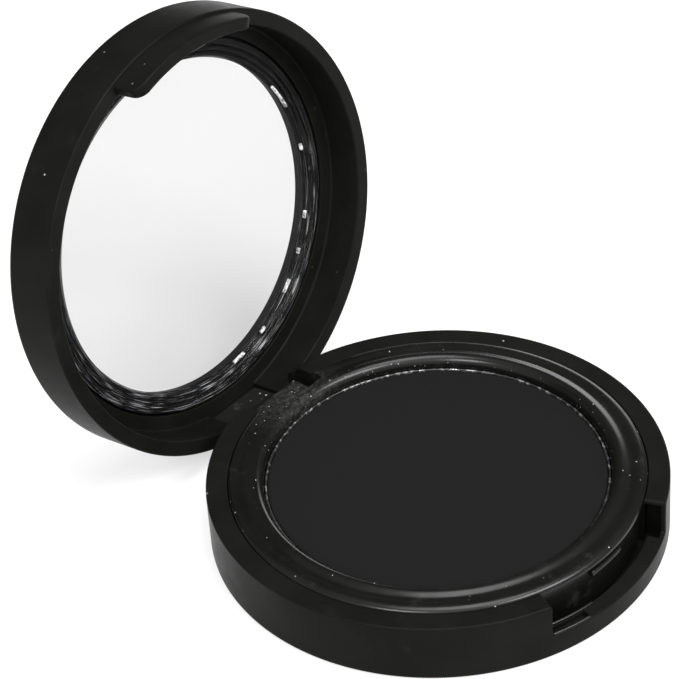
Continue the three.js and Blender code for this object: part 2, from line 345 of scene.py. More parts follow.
class Nodes:
    """A material's node tree, with short calls for the nodes that it uses.

    Noise and speck scales are per metre. Places and distances are in millimetres.
    """

    def __init__(self, name):
        self.material = bpy.data.materials.new(name)
        self.material.use_nodes = True
        self.tree = self.material.node_tree
        self.shader = self.tree.nodes["Principled BSDF"]
        self.coordinates = self.tree.nodes.new("ShaderNodeTexCoord").outputs
        self.place = self.coordinates["Object"]

    def link(self, source, target):
        self.tree.links.new(source, target)

    def set(self, **sockets):
        """Links outputs to the shader's own sockets, named with _ for a space."""
        for name, source in sockets.items():
            self.link(source, self.shader.inputs[name.replace("_", " ")])

    def noise(self, scale, detail=3.0, roughness=0.55):
        node = self.tree.nodes.new("ShaderNodeTexNoise")
        node.inputs["Scale"].default_value = scale
        node.inputs["Detail"].default_value = detail
        node.inputs["Roughness"].default_value = roughness
        self.link(self.place, node.inputs["Vector"])
        return node.outputs["Fac"]

    def remap(self, source, low, high, to_low, to_high):
        node = self.tree.nodes.new("ShaderNodeMapRange")
        self.link(source, node.inputs["Value"])
        for key, value in (("From Min", low), ("From Max", high), ("To Min", to_low), ("To Max", to_high)):
            node.inputs[key].default_value = value
        return node.outputs["Result"]

    def maths(self, operation, a, b):
        node = self.tree.nodes.new("ShaderNodeMath")
        node.operation = operation
        for socket, value in zip(node.inputs, (a, b)):
            if isinstance(value, (int, float)):
                socket.default_value = value
            else:
                self.link(value, socket)
        return node.outputs["Value"]

    def mix(self, share, a, b):
        node = self.tree.nodes.new("ShaderNodeMix")
        node.data_type = "RGBA"
        self.link(share, node.inputs[0])
        for socket, value in ((node.inputs[6], a), (node.inputs[7], b)):
            if isinstance(value, tuple):
                socket.default_value = (*value, 1)
            else:
                self.link(value, socket)
        return node.outputs[2]

    def near(self, centre, reach):
        """1 at a point, given in millimetres, fading to 0 at a distance from it."""
        node = self.tree.nodes.new("ShaderNodeVectorMath")
        node.operation = "DISTANCE"
        node.inputs[1].default_value = Vector(centre) * MM
        self.link(self.place, node.inputs[0])
        return self.remap(node.outputs["Value"], 0, reach * MM, 1, 0)

    def within(self, radius, fade):
        """1 inside a radius about the case's axis, in millimetres, fading to 0 outside it."""
        flat = self.tree.nodes.new("ShaderNodeVectorMath")
        flat.operation = "MULTIPLY"
        flat.inputs[1].default_value = (1, 1, 0)
        self.link(self.place, flat.inputs[0])
        length = self.tree.nodes.new("ShaderNodeVectorMath")
        length.operation = "LENGTH"
        self.link(flat.outputs["Vector"], length.inputs[0])
        return self.remap(length.outputs["Value"], radius * MM, (radius + fade) * MM, 1, 0)

    def towards(self, direction, start, end):
        """0 to 1 as a point goes from start to end along a direction, in millimetres."""
        node = self.tree.nodes.new("ShaderNodeVectorMath")
        node.operation = "DOT_PRODUCT"
        node.inputs[1].default_value = direction
        self.link(self.place, node.inputs[0])
        return self.remap(node.outputs["Value"], start * MM, end * MM, 0, 1)

    def specks(self, scale, size, share):
        """Small round specks on level faces: 1 inside a speck, on a share of a random grid's cells."""
        cells = self.tree.nodes.new("ShaderNodeTexVoronoi")
        cells.inputs["Scale"].default_value = scale
        self.link(self.place, cells.inputs["Vector"])
        parts = self.tree.nodes.new("ShaderNodeSeparateColor")
        self.link(cells.outputs["Color"], parts.inputs["Color"])
        near = self.remap(cells.outputs["Distance"], size, size * 0.6, 0, 1)
        chosen = self.maths("LESS_THAN", parts.outputs["Red"], share)
        patches = self.remap(self.noise(220, 1.0), 0.45, 0.6, 0.15, 1)
        facing = self.tree.nodes.new("ShaderNodeSeparateXYZ")
        self.link(self.coordinates["Normal"], facing.inputs["Vector"])
        level = self.remap(facing.outputs["Z"], 0.1, 0.5, 0, 1)
        speck = self.maths("MULTIPLY", near, chosen)
        return self.maths("MULTIPLY", speck, self.maths("MULTIPLY", patches, level))

    def rings(self, across, along, detail=2.0):
        """Streaks that run around the lid's own axis, from a noise on radius plus height, and on angle."""
        closed = self.tree.nodes.new("ShaderNodeMapping")
        closed.vector_type = "POINT"
        about = Matrix.Rotation(OPEN_ANGLE, 3, "X") @ (HINGE * MM)
        closed.inputs["Rotation"].default_value = (OPEN_ANGLE, 0, 0)
        closed.inputs["Location"].default_value = HINGE * MM - about
        self.link(self.place, closed.inputs["Vector"])
        parts = self.tree.nodes.new("ShaderNodeSeparateXYZ")
        self.link(closed.outputs["Vector"], parts.inputs["Vector"])
        x, y, z = parts.outputs
        squares = self.maths("ADD", self.maths("MULTIPLY", x, x), self.maths("MULTIPLY", y, y))
        radius = self.maths("SQRT", squares, 0.0)
        angle = self.maths("ARCTAN2", x, y)
        polar = self.tree.nodes.new("ShaderNodeCombineXYZ")
        self.link(self.maths("MULTIPLY", self.maths("ADD", radius, z), across), polar.inputs["X"])
        self.link(self.maths("MULTIPLY", angle, along), polar.inputs["Y"])
        node = self.tree.nodes.new("ShaderNodeTexNoise")
        node.inputs["Scale"].default_value = 1.0
        node.inputs["Detail"].default_value = detail
        self.link(polar.outputs["Vector"], node.inputs["Vector"])
        return node.outputs["Fac"]

    def bump(self, height, distance, strength=1.0):
        node = self.tree.nodes.new("ShaderNodeBump")
        node.inputs["Distance"].default_value = distance * MM
        node.inputs["Strength"].default_value = strength
        self.link(height, node.inputs["Height"])
        self.link(node.outputs["Normal"], self.shader.inputs["Normal"])


DUST = (0.42, 0.42, 0.4)
# Dark smears on the pan's rim: partly pigment, partly painted shade on the side away from +X and +Y.
SMEAR_AND_PAINTED_SHADE = (0.012, 0.012, 0.012)
CAKE_DARK, CAKE_LIGHT = (0.0066, 0.0066, 0.0066), (0.0077, 0.0077, 0.0077)
CAKE_DRIFT = (0.0071, 0.0071, 0.0072)
PAD_DARK, PAD_LIGHT = (0.5, 0.48, 0.42), (0.66, 0.64, 0.58)
PANE_DARK, PANE_LIGHT = (0.03, 0.03, 0.03), (0.05, 0.05, 0.05)
# The flange's own dark colour, and the bright colour of the glints painted on it.
FLANGE_DARK, FLANGE_PAINTED_GLINT = (0.006, 0.006, 0.0065), (0.34, 0.34, 0.35)
# The clip bars' dark colour, and the pale colour of the glints painted on them.
CLIP_DARK, CLIP_PAINTED_GLINT = (0.08, 0.08, 0.08), (0.8, 0.8, 0.8)
PANE_TINT, FLANGE_TINT = 0.18, 0.9

# Dust in the tray's edge shows towards +X and +Y. The pan's rim is bare metal only there, a painted highlight
# side; elsewhere its smears are partly pigment, partly painted shade.
FAR_SIDE = (0.8, 0.6, 0)
DUSTY_EDGE, DUSTY_EDGE_FADE = WELL_RADIUS + 0.3, 0.5
DUSTY_HINGE, DUSTY_HINGE_REACH = (0, PLATFORM_EDGE - 2.6, PLATFORM_TOP), 9
GATHERED_SHARE = 0.7
# Painted glints on the flange: its streaks are painted bright, growing brighter from the first of these
# heights down to the second.
PAINTED_GLINT_TOP, PAINTED_GLINT_BOTTOM = 34, 13


def moulded_plastic(name, dark, light, specular, rough, grain, dust, gathers=False):
    """Black moulded plastic: faint colour drift, uneven gloss, fine grain and a little dust.

    Dust gathers beside the hinge and in the far side of the edge around the pan.
    """
    nodes = Nodes(name)
    drift = nodes.remap(nodes.noise(130, 4.0), 0.35, 0.65, 0, 1)
    color = nodes.mix(drift, dark, light)
    share = dust
    if gathers:
        edge = nodes.within(DUSTY_EDGE, DUSTY_EDGE_FADE)
        far_edge = nodes.maths("MULTIPLY", edge, nodes.towards(FAR_SIDE, -6, 8))
        hinge = nodes.near(DUSTY_HINGE, DUSTY_HINGE_REACH)
        gathered = nodes.maths("MULTIPLY", nodes.maths("MAXIMUM", far_edge, hinge), GATHERED_SHARE)
        share = nodes.maths("ADD", gathered, dust)
        powder = nodes.remap(nodes.noise(1500, 4.0, 0.7), 0.42, 0.62, 0.01, 0.07)
        color = nodes.mix(nodes.maths("MULTIPLY", powder, hinge), color, DUST)
    specks = nodes.specks(1500 if gathers else 900, 0.16, share)
    smudges = nodes.remap(nodes.noise(330, 5.0, 0.6), 0.6, 0.78, 0, dust * 0.3)
    film = nodes.mix(smudges, color, DUST)
    gloss = nodes.remap(nodes.noise(420, 5.0, 0.65), 0.3, 0.7, rough[0], rough[1])
    dulled = nodes.maths("ADD", gloss, nodes.maths("MULTIPLY", specks, 0.4))
    nodes.set(Base_Color=nodes.mix(specks, film, DUST), Roughness=dulled)
    height = nodes.maths("ADD", nodes.maths("MULTIPLY", nodes.noise(5200, 2.0), grain), specks)
    nodes.bump(height, 0.02, 0.6)
    nodes.shader.inputs["Specular IOR Level"].default_value = specular
    return nodes.material


def pressed_cake(name):
    """Dead matt pressed powder with a very fine grain."""
    nodes = Nodes(name)
    grains = nodes.noise(2600, 5.0, 0.7)
    drift = nodes.noise(90, 3.0)
    color = nodes.mix(nodes.remap(grains, 0.35, 0.65, 0, 1), CAKE_DARK, CAKE_LIGHT)
    tint = nodes.mix(nodes.remap(drift, 0.3, 0.7, 0, 0.4), color, CAKE_DRIFT)
    nodes.set(Base_Color=tint, Roughness=nodes.remap(grains, 0.2, 0.8, 0.9, 1.0))
    nodes.shader.inputs["Specular IOR Level"].default_value = 0.08
    nodes.bump(grains, 0.03, 0.35)
    return nodes.material


def sheet_metal(name, color, rough, stained):
    """Bare metal, uneven in gloss, with or without smears of pressed colour; smeared metal is left bare only
    towards +X and +Y, a painted highlight side, and is dark elsewhere, partly painted shade.
    """
    nodes = Nodes(name)
    wear = nodes.noise(700, 5.0, 0.6)
    darker = tuple(c * 0.8 for c in color)
    bare = nodes.mix(nodes.remap(wear, 0.35, 0.65, 0, 1), color, darker)
    nodes.set(Roughness=nodes.remap(wear, 0.3, 0.7, rough - 0.06, rough + 0.1))
    if stained:
        # Smears, cleared towards +X and +Y: partly pigment, partly painted shade on the dark side and a
        # painted highlight side where the metal is bare.
        gaps = nodes.remap(nodes.noise(1100, 6.0, 0.75), 0.53, 0.64, 0, 1)
        bare_lit_side_gaps = nodes.maths("MULTIPLY", gaps, nodes.towards(FAR_SIDE, -12, 6))
        smears_and_painted_shade = nodes.maths("SUBTRACT", 1.0, bare_lit_side_gaps)
        bare = nodes.mix(smears_and_painted_shade, bare, SMEAR_AND_PAINTED_SHADE)
        nodes.set(Metallic=nodes.maths("SUBTRACT", 1.0, smears_and_painted_shade))
    else:
        nodes.shader.inputs["Metallic"].default_value = 1.0
    nodes.set(Base_Color=bare)
    nodes.bump(wear, 0.02, 0.5)
    return nodes.material


def soft_pad(name):
    """Pale fibrous adhesive pad."""
    nodes = Nodes(name)
    fibres = nodes.noise(1500, 6.0, 0.7)
    color = nodes.mix(fibres, PAD_DARK, PAD_LIGHT)
    nodes.set(Base_Color=color, Roughness=nodes.remap(fibres, 0.3, 0.7, 0.7, 0.9))
    nodes.bump(fibres, 0.05, 0.6)
    return nodes.material


def clear_pane(name):
    """The flat middle of the window: thin, clear and slightly grey."""
    nodes = Nodes(name)
    haze = nodes.noise(160, 3.0)
    color = nodes.mix(haze, PANE_DARK, PANE_LIGHT)
    nodes.set(Base_Color=color, Roughness=nodes.remap(haze, 0.3, 0.7, 0.02, 0.05))
    nodes.shader.inputs["Specular IOR Level"].default_value = 0.12
    nodes.shader.inputs["Alpha"].default_value = PANE_TINT
    return nodes.material


def clear_flange(name):
    """The window's moulded flange: glossy, dark against the black seat, with flow streaks around it that are
    painted in as bright glints, brighter lower down.
    """
    nodes = Nodes(name)
    streaks = nodes.rings(9000, 5.0, 4.0)
    glints = nodes.rings(3500, 60.0, 3.0)
    height = nodes.tree.nodes.new("ShaderNodeSeparateXYZ")
    nodes.link(nodes.place, height.inputs["Vector"])
    # Painted glints: the streaks are painted bright in the colour, more strongly lower down.
    low = nodes.remap(height.outputs["Z"], PAINTED_GLINT_TOP * MM, PAINTED_GLINT_BOTTOM * MM, 0.05, 1)
    painted_glint = nodes.maths("MULTIPLY", nodes.remap(streaks, 0.55, 0.68, 0, 1), low)
    color = nodes.mix(painted_glint, FLANGE_DARK, FLANGE_PAINTED_GLINT)
    nodes.set(Base_Color=color, Roughness=nodes.remap(glints, 0.3, 0.7, 0.04, 0.2))
    nodes.bump(nodes.maths("ADD", streaks, glints), 0.2, 0.9)
    nodes.shader.inputs["Specular IOR Level"].default_value = 0.15
    nodes.shader.inputs["Alpha"].default_value = FLANGE_TINT
    return nodes.material


def painted_glint_clip(name):
    """The clip bars on the flange, with pale patches painted on them as glints."""
    nodes = Nodes(name)
    glint_patches = nodes.noise(1800, 5.0, 0.7)
    # Painted glints: pale patches painted into the clip bars' colour.
    color = nodes.mix(nodes.remap(glint_patches, 0.42, 0.58, 0, 1), CLIP_PAINTED_GLINT, CLIP_DARK)
    nodes.set(Base_Color=color, Roughness=nodes.remap(glint_patches, 0.3, 0.7, 0.15, 0.4))
    nodes.bump(glint_patches, 0.1, 0.7)
    return nodes.material


case_black = moulded_plastic(
    "case_black",
    dark=(0.0054, 0.0054, 0.005),
    light=(0.0075, 0.0075, 0.007),
    specular=0.03,
    rough=(0.28, 0.38),
    grain=0.5,
    dust=0.03,
)
tray_black = moulded_plastic(
    "tray_black",
    dark=(0.0034, 0.0034, 0.0031),
    light=(0.005, 0.005, 0.0046),
    specular=0.28,
    rough=(0.2, 0.28),
    grain=0.08,
    dust=0.1,
    gathers=True,
)
# Painted light: the same black plastic as the case, painted lighter to lift the shade that the leaf sits in,
# and dustier.
leaf_black_painted_light = moulded_plastic(
    "leaf_black_painted_light",
    dark=(0.0092, 0.0092, 0.0089),
    light=(0.0128, 0.0128, 0.0124),
    specular=0.08,
    rough=(0.3, 0.42),
    grain=0.4,
    dust=0.5,
)
cake_black = pressed_cake("cake_black")
pan_metal = sheet_metal("pan_metal", (0.62, 0.62, 0.63), 0.32, True)
pin_metal = sheet_metal("pin_metal", (0.42, 0.42, 0.43), 0.3, False)
pad_grey = soft_pad("pad_grey")
pane_clear = clear_pane("pane_clear")
flange_clear = clear_flange("flange_clear")
clip_painted_glint = painted_glint_clip("clip_painted_glint")

# ---------------------------------------------------------------- case base


def gap_outline(half_width, floor, rim, corner, foot):
    """An opening cut down into a wall from above: rounded into the rim, and rounded at its floor."""
    return rounded(
        [
            (-half_width, floor, foot),
            (half_width, floor, foot),
            (half_width, rim, -1),
            (half_width + 2 * corner, rim, 0),
            (half_width + 2 * corner, OPEN_END, 0),
            (-half_width - 2 * corner, OPEN_END, 0),
            (-half_width - 2 * corner, rim, 0),
            (-half_width, rim, -1),
        ]
    )


def rim_corner(outline, half_width, rim, corner):
    """Replaces the square corners between an opening's sides and the rim by round ones."""
    result = []
    for u, v in outline:
        if abs(abs(u) - half_width) < 1e-6 and abs(v - rim) < 1e-6:
            side = math.copysign(1, u)
            arc = []
            for t in quarter_turn():
                reach = half_width + corner - corner * math.cos(t)
                arc.append((side * reach, rim - corner + corner * math.sin(t)))
            result += arc if u > 0 else arc[::-1]
        else:
            result.append((u, v))
    return result


def rim_gap(half_width, floor, corner, foot):
    """The outline of an opening cut down from the base's rim."""
    outline = gap_outline(half_width, floor, BASE_HEIGHT, corner, foot)
    return rim_corner(outline, half_width, BASE_HEIGHT, corner)


def subdivided(outline, reach):
    """A closed outline with its long edges split, so that none is longer than reach."""
    result = []
    for i, start in enumerate(outline):
        end = outline[(i + 1) % len(outline)]
        parts = max(1, math.ceil(math.dist(start, end) / reach))
        for part in range(parts):
            share = part / parts
            result.append((start[0] + (end[0] - start[0]) * share, start[1] + (end[1] - start[1]) * share))
    return result


def notch_cutter():
    """The thumb notch in the front wall, with a rounded edge all around its outside."""
    half_width = math.radians(NOTCH_HALF_ANGLE) * CASE_RADIUS
    layers = [(NOTCH_INNER, 0), *flare(CASE_RADIUS, NOTCH_FLARE), (OUTSIDE, NOTCH_FLARE)]
    outline = subdivided(rim_gap(half_width, NOTCH_LEDGE, NOTCH_CORNER, NOTCH_FOOT), 0.8)
    return pushed("notch", outline, layers, around_front)


def groove_cutter():
    """The groove between the tray and the notch's ledge, with the ledge's edge bevelled."""
    lip = 0.25
    inner = NOTCH_INNER + 0.4
    outline = rounded(
        [
            (inner, NOTCH_GROOVE_FLOOR, 0),
            (NOTCH_LIP_RADIUS, NOTCH_GROOVE_FLOOR, 0.2),
            (NOTCH_LIP_RADIUS, NOTCH_LEDGE - lip, 0),
            (NOTCH_LIP_RADIUS + lip, NOTCH_LEDGE, 0),
            (NOTCH_LIP_RADIUS + lip, NOTCH_LEDGE + 2 * lip, 0),
            (inner, NOTCH_LEDGE + 2 * lip, 0),
        ]
    )
    return sector("groove", outline, 0, NOTCH_HALF_ANGLE - 0.15)


def channel_cutter():
    """A shallow channel in the ledge's left part, which leaves a thin rail along each side."""
    floor, edge = NOTCH_LEDGE - CHANNEL_DEPTH, 0.18
    inner, outer = NOTCH_LIP_RADIUS + 0.6, CASE_RADIUS - 0.65
    outline = [
        (inner, floor),
        (outer, floor),
        (outer, NOTCH_LEDGE - edge),
        (outer + edge, NOTCH_LEDGE),
        (outer + edge, NOTCH_LEDGE + edge),
        (inner - edge, NOTCH_LEDGE + edge),
        (inner - edge, NOTCH_LEDGE),
        (inner, NOTCH_LEDGE - edge),
    ]
    return sector("channel", outline, CHANNEL_MIDDLE, CHANNEL_HALF_ANGLE)


def end_pocket_cutter():
    """A deep pocket at the ledge's right end, which runs in behind the wall's outer skin."""
    low, high = BASE_FLOOR + 0.4, BASE_HEIGHT - 0.6
    inner, skin = BASE_BORE - GAP, CASE_RADIUS - POCKET_SKIN
    return sector("end_pocket", [(inner, low), (skin, low), (skin, high), (inner, high)], *END_POCKET)


def notch_rails():
    """Two thin rounded rails along the ledge's left part."""
    height = NOTCH_LEDGE - 0.02
    rails = sector("rail", circle(NOTCH_LIP_RADIUS + 0.3, height, RAIL_RADIUS), *INNER_RAIL, 24, 0.2)
    join(rails, sector("rail", circle(CASE_RADIUS - 0.36, height, RAIL_RADIUS), *OUTER_RAIL, 24, 0.2))
    return rails


def circle(u, v, radius, steps=16):
    """The outline of a circle about a point."""
    turns = [2 * math.pi * i / steps for i in range(steps)]
    return [(u + radius * math.cos(t), v + radius * math.sin(t)) for t in turns]


def slot_cutter():
    """The slot through the back wall that the hinge turns in."""
    layers = [(EAR_FRONT - 1.5, 0), (CASE_RADIUS - 0.6, 0), (OUTSIDE, 0)]
    outline = rim_gap(SLOT_HALF_WIDTH, SLOT_FLOOR, SLOT_CORNER, SLOT_FOOT)
    return pushed("slot", outline, layers, towards_back)


def relief_cutter():
    """What the lid's back edge sweeps: the space above the hinge axis outside the swing radius."""
    turns = [math.radians(a) for a in range(0, 91, 3)]
    arc = [(HINGE.y + SWING_RADIUS * math.sin(t), HINGE.z + SWING_RADIUS * math.cos(t)) for t in turns]
    outline = [*arc, (OPEN_END, HINGE.z), (OPEN_END, BASE_HEIGHT + 4), (HINGE.y, BASE_HEIGHT + 4)]
    layers = [(-RELIEF_HALF_WIDTH, 0), (RELIEF_HALF_WIDTH, 0)]
    return pushed("relief", outline, layers, across)


def slot_side_cutter():
    """Widens the slot's top beside the tray's pit."""
    return block("slot_side", (PIT_LEFT, PIT_RIGHT), (PIT_FRONT, HINGE.y + 1.6), (EAR_TOP - 0.9, OPEN_END))


def base_shell():
    """The case's base: a round dish with the notch, the hinge ears, the slot and the pin's bore."""
    outline = rounded(
        [
            (0, 0, 0),
            (CASE_RADIUS, 0, 0.5),
            (CASE_RADIUS, BASE_HEIGHT, 0.32),
            (BASE_BORE, BASE_HEIGHT, 0.08),
            (BASE_BORE, BASE_FLOOR, 0.2),
            (0, BASE_FLOOR, 0),
        ]
    )
    shell = turned("case_base", outline)
    join(shell, block("ears", (-EAR_OUTER, EAR_OUTER), (EAR_FRONT, HINGE.y + 1), (BASE_FLOOR / 2, EAR_TOP)))
    cut(shell, notch_cutter())
    cut(shell, groove_cutter())
    cut(shell, channel_cutter())
    cut(shell, end_pocket_cutter())
    cut(shell, slot_cutter())
    cut(shell, relief_cutter())
    cut(shell, slot_side_cutter())
    cut(shell, rod("pin_bore", PIN_BORE, PIN_HALF_LENGTH + GAP))
    return shell


def chamfered(half_length, chamfer):
    """Layers for a solid pushed along X, with or without a chamfer at its two ends."""
    start, end = (-half_length, -chamfer), (half_length, -chamfer)
    if not chamfer:
        return [start, end]
    return [start, (chamfer - half_length, 0), (half_length - chamfer, 0), end]


def rod(name, radius, half_length, chamfer=0.0):
    """A rod along X on the hinge axis."""
    turns = [2 * math.pi * i / 48 for i in range(48)]
    outline = [(HINGE.y + radius * math.cos(t), HINGE.z + radius * math.sin(t)) for t in turns]
    return pushed(name, outline, chamfered(half_length, chamfer), across)


# ---------------------------------------------------------------- tray, pan and colour


def arc_points(centre, radii, start, end, steps):
    """Points of an elliptical arc, in degrees."""
    turns = [math.radians(start + (end - start) * i / steps) for i in range(steps + 1)]
    return [(centre[0] + radii[0] * math.cos(t), centre[1] + radii[1] * math.sin(t)) for t in turns]


def wave(start, end, steps):
    """Points of a smooth half wave that is level at both its ends, without its first point."""
    points = []
    for step in range(1, steps + 1):
        share = step / steps
        swing = (1 - math.cos(math.pi * share)) / 2
        points.append((start[0] + (end[0] - start[0]) * share, start[1] + (end[1] - start[1]) * swing))
    return points


def tray_outline():
    """The tray's section: skirt, bead, groove, crown and well, from the axis underneath to the axis above."""
    bead = (TRAY_RADIUS - BEAD_RADIUS, BEAD_TOP - BEAD_FOOT)
    crown = (CROWN_RIDGE - WELL_RADIUS, CROWN_TOP - CROWN_SHOULDER)
    return [
        (0, TRAY_UNDERSIDE),
        (SKIRT_INNER, TRAY_UNDERSIDE),
        (SKIRT_INNER, TRAY_HOLLOW_TOP),
        (SKIRT_OUTER, TRAY_HOLLOW_TOP),
        (SKIRT_OUTER, TRAY_FOOT),
        (TRAY_RADIUS - 0.2, TRAY_FOOT),
        (TRAY_RADIUS, TRAY_FOOT + 0.2),
        *arc_points((BEAD_RADIUS, BEAD_FOOT), bead, 0, 90, 12),
        *wave((BEAD_RADIUS, BEAD_TOP), (CROWN_VALLEY, VALLEY_HEIGHT), 10),
        *wave((CROWN_VALLEY, VALLEY_HEIGHT), (CROWN_RIDGE, CROWN_TOP), 10),
        *arc_points((CROWN_RIDGE, CROWN_SHOULDER), crown, 95, 180, 16),
        (WELL_RADIUS, TRAY_FLOOR),
        (0, TRAY_FLOOR),
    ]


def level_platform(x, y, z):
    """Fills the groove and squares the edge beside the hinge."""
    radius = math.hypot(x, y)
    if y < 0 or z < TRAY_HOLLOW_TOP + 0.1 or radius < CROWN_RIDGE:
        return (x, y, z)
    share = 1 - ease(abs(x), PLATFORM_HALF_WIDTH - 0.2, PLATFORM_HALF_WIDTH + 0.35)
    y += share * (PLATFORM_EDGE - y) * ease(radius, TRAY_RADIUS - 0.65, TRAY_RADIUS - 0.2)
    return (x, y, z + share * (PLATFORM_TOP - z) * ease(radius, CROWN_RIDGE, CROWN_RIDGE + 0.7))


def inner_tray():
    """The tray, with its platform and pit by the hinge and its catch rib and ribs in the notch."""
    tray = turned("tray", tray_outline(), RING_COLUMNS * 2)
    shift(tray, level_platform)
    room = block(
        "hinge_room",
        (-EAR_OUTER - GAP, EAR_OUTER + GAP),
        (EAR_FRONT - GAP, OPEN_END),
        (0, EAR_TOP + GAP),
    )
    cut(tray, room)
    cut(tray, block("pit", (PIT_LEFT, PIT_RIGHT), (PIT_FRONT, OPEN_END), (1.0, OPEN_END)))
    outside = TRAY_NOTCH_WALL + 2
    finger_room = [
        (TRAY_NOTCH_WALL, 0),
        (outside, 0),
        (outside, FINGER_ROOM_TOP),
        (TRAY_NOTCH_WALL + 0.4, FINGER_ROOM_TOP),
        (TRAY_NOTCH_WALL, FINGER_ROOM_TOP - 0.4),
    ]
    cut(tray, sector("finger_room", finger_room, 0, NOTCH_HALF_ANGLE + 0.6))
    draft = 0.05
    catch = rounded(
        [
            (CATCH_ROOT, CATCH_LOW, 0),
            (CATCH_TIP, CATCH_LOW + draft, 0.3),
            (CATCH_TIP, CATCH_HIGH - draft, 0.3),
            (CATCH_ROOT, CATCH_HIGH, 0),
        ]
    )
    join(tray, sector("catch_rib", catch, 0, 6.3, 16, 0.3))
    for height, middle, half_angle in NOTCH_RIBS:
        join(tray, sector("rib", circle(TRAY_NOTCH_WALL + 0.02, height, 0.16), middle, half_angle, 24, 0.15))
    return tray


def color_pan():
    """The thin metal pan."""
    outline = rounded(
        [
            (0, PAN_FOOT, 0),
            (PAN_RADIUS, PAN_FOOT, 0.3),
            (PAN_RADIUS, PAN_TOP, 0.12),
            (PAN_RADIUS - PAN_WALL, PAN_TOP, 0.12),
            (PAN_RADIUS - PAN_WALL, PAN_FOOT + PAN_WALL, 0.15),
            (0, PAN_FOOT + PAN_WALL, 0),
        ]
    )
    return turned("pan", outline)


def color_cake():
    """The pressed colour, with a slightly crumbled edge."""
    rng = random.Random(7)
    outline = rounded(
        [
            (0, CAKE_FOOT, 0),
            (CAKE_RADIUS, CAKE_FOOT, 0.1),
            (CAKE_RADIUS, CAKE_TOP, 0.22),
            (CAKE_RADIUS - 0.45, CAKE_TOP, 0),
            (0, CAKE_TOP, 0),
        ]
    )
    cake = turned("cake", outline, 720)

    def crumble(x, y, z):
        radius = math.hypot(x, y)
        if z < CAKE_TOP - 0.3 or radius < CAKE_RADIUS - CRUMBLE_WIDTH:
            return (x, y, z)
        loss = rng.random() ** 3 * CRUMBLE_LOSS
        return (x * (1 - loss / radius), y * (1 - loss / radius), z - loss * 0.6)

    shift(cake, crumble)
    return cake


# ---------------------------------------------------------------- lid


def tab_contour():
    """The tab's edge seen from the front: down the left side, along the tip and up the right side."""
    side = TAB_HALF_WIDTH - TAB_CORNER
    knee = TAB_TIP + TAB_CORNER
    left = [(-TAB_HALF_WIDTH - TAB_LEAN, TAB_ROOT), (-TAB_HALF_WIDTH - TAB_LEAN / 2, (TAB_ROOT + knee) / 2)]
    left += arc_points((-side, knee), (TAB_CORNER, TAB_CORNER), 180, 270, 10)
    tip = [(-side + 2 * side * i / 40, TAB_TIP) for i in range(1, 40)]
    return left + tip + [(-u, v) for u, v in reversed(left)]


def tab_column(corner, inward):
    """One column of the tab's points: from the root down the outside, over the edge and up the inside."""
    reach = min(TAB_EDGE, TAB_ROOT - corner.y)
    foot = corner + inward * reach
    heights = [TAB_ROOT + (foot.y - TAB_ROOT) * row / TAB_ROWS for row in range(TAB_ROWS)]
    turns = quarter_turn(4)
    bend = [(TAB_OUTER - TAB_EDGE + TAB_EDGE * math.cos(t), t) for t in turns]
    bend += [(TAB_INNER + TAB_EDGE - TAB_EDGE * math.cos(t), t) for t in reversed(turns)]
    column = [around_front(foot.x, height, TAB_OUTER) for height in heights]
    for depth, t in bend:
        p = corner + inward * (reach * (1 - math.sin(t)))
        column.append(around_front(p.x, min(p.y, TAB_ROOT), depth))
    column += [around_front(foot.x, height, TAB_INNER) for height in reversed(heights)]
    return column


def tab_piece():
    """The thumb tab, as columns of points along its edge."""
    contour = [Vector(p) for p in tab_contour()]
    last = len(contour) - 1
    columns = []
    for i, corner in enumerate(contour):
        along = (contour[min(i + 1, last)] - contour[max(i - 1, 0)]).normalized()
        columns.append(tab_column(corner, Vector((-along.y, along.x))))
    points = [p for column in columns for p in column]
    faces = []
    count = len(columns[0])
    for i in range(last):
        a, b = i * count, (i + 1) * count
        for j in range(count):
            k = (j + 1) % count
            faces.append((a + j, b + j, b + k, a + k))
    faces.append(tuple(range(count)))
    faces.append(tuple(range(len(points) - count, len(points))))
    return mesh_object("tab", points, faces)


def lid_shell():
    """The ring-shaped lid, with its window seat, thumb tab, catch hook and pocket for the hinge leaf."""
    outline = rounded(
        [
            (LID_BORE, LID_MOUTH, 0.25),
            (CASE_RADIUS, LID_MOUTH, 0.28),
            (CASE_RADIUS, CASE_HEIGHT, 0.8),
            (WINDOW_HOLE, CASE_HEIGHT, 0.3),
            (WINDOW_HOLE, SEAT_TOP, 0),
            (SEAT_RADIUS, SEAT_TOP, 0),
            (SEAT_RADIUS, LID_CEILING, 0.12),
            (LID_BORE, LID_CEILING, 0.35),
        ]
    )
    shell = turned("lid", outline)
    join(shell, tab_piece())
    hook = [
        (HOOK_TIP, HOOK_MIDDLE),
        (HOOK_BEVEL, HOOK_LOW),
        (HOOK_ROOT, HOOK_LOW),
        (HOOK_ROOT, HOOK_HIGH),
        (HOOK_BEVEL, HOOK_HIGH),
    ]
    join(shell, sector("hook", hook, 0, 5.6, 16, 0.3))
    pocket = block(
        "leaf_pocket",
        (-POCKET_HALF_WIDTH, POCKET_HALF_WIDTH),
        (HINGE.y - 1, POCKET_BACK),
        (0, LID_CEILING - 0.02),
    )
    cut(shell, pocket)
    return shell


def flange_ridges(start, end, low, high, count):
    """Corners of rounded ridges between two radii on the flange's inner face."""
    corners = []
    pitch = (end - start) / count
    for ridge in range(count):
        left = start + ridge * pitch
        corners.append((left, low, 0))
        corners.append((left + pitch * 0.25, high, pitch * 0.2))
        corners.append((left + pitch * 0.7, high, pitch * 0.2))
    return corners


